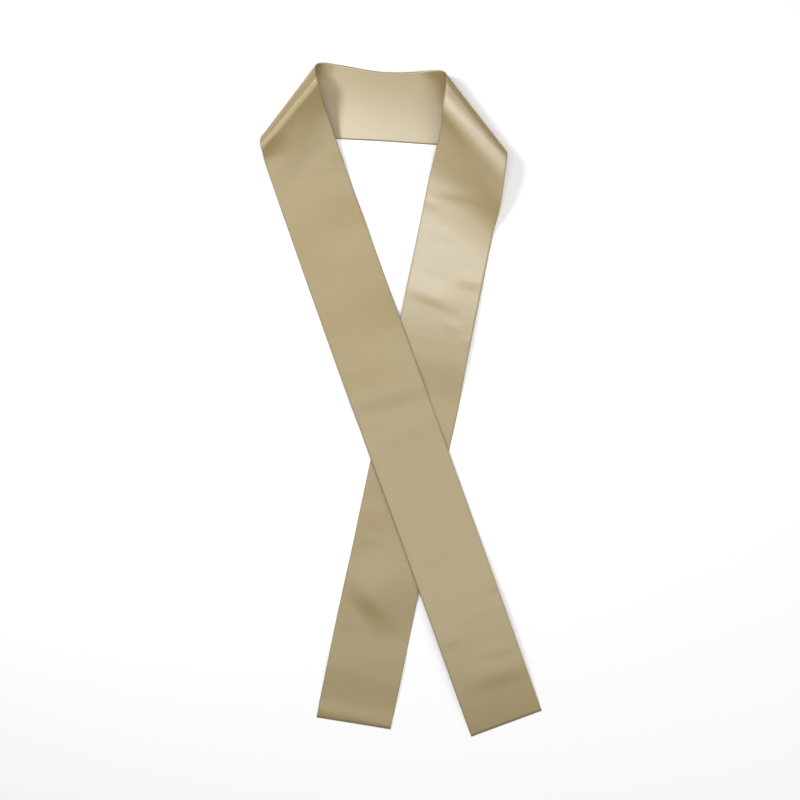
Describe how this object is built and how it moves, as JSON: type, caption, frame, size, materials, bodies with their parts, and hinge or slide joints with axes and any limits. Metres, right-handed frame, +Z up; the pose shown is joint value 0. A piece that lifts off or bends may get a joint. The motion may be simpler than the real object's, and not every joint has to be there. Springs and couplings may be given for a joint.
{
  "type": "satin sash",
  "caption": "Long plain satin ribbon sash laid flat: neck band across the top, a soft rolled turn at each shoulder, and straight tails crossed below with plain cut ends",
  "frame": {"origin": "middle of the bounding box, on the surface that the sash lies on", "axes": "+X to the right as seen from above with the neck band at the top, +Y up the sash from the tail ends to the neck band, +Z up off the surface"},
  "size_m": [0.377, 0.908, 0.0315],
  "materials": {
    "satin": "smooth double-faced satin, soft sheen across the warp"
  },
  "bodies": {
    "root": {"neck_band": "satin", "left_shoulder_turn": "satin", "left_tail": "satin", "right_shoulder_turn": "satin", "right_tail": "satin"}
  },
  "joints": []
}
